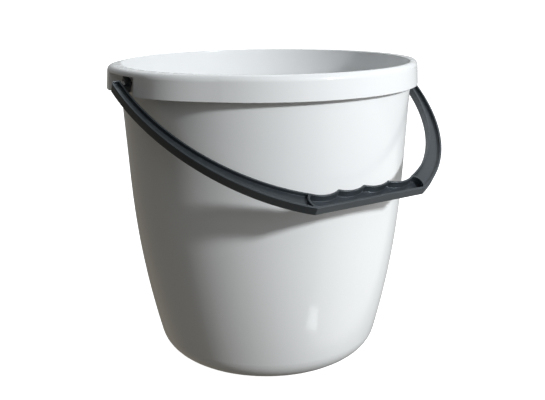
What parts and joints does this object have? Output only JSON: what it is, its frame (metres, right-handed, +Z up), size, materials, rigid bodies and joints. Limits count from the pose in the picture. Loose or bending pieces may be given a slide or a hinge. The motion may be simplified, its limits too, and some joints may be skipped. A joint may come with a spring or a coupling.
{
  "type": "florist bucket",
  "caption": "Round moulded plastic bucket for cut flowers, curving in to a narrower base, with a turned-over rim and a swinging bail handle with a finger grip.",
  "frame": {"origin": "centre of the ring the bucket stands on, at ground level", "axes": "+Z up; X along the bail's pivot line; the bail rests on the -Y side, which is the front"},
  "size_m": [0.2968, 0.2883, 0.268],
  "materials": {
    "bucket_plastic": "glossy white polypropylene",
    "handle_plastic": "satin anthracite polypropylene"
  },
  "bodies": {
    "bucket": {"bucket_body": "bucket_plastic"},
    "bail": {"bail_handle": "handle_plastic"}
  },
  "joints": [
    {"name": "bail_hinge", "type": "hinge", "parent": "bucket", "child": "bail", "pos_m": [0, 0, 0.255], "axis": [-1, 0, 0], "range_deg": [0, 240]}
  ]
}
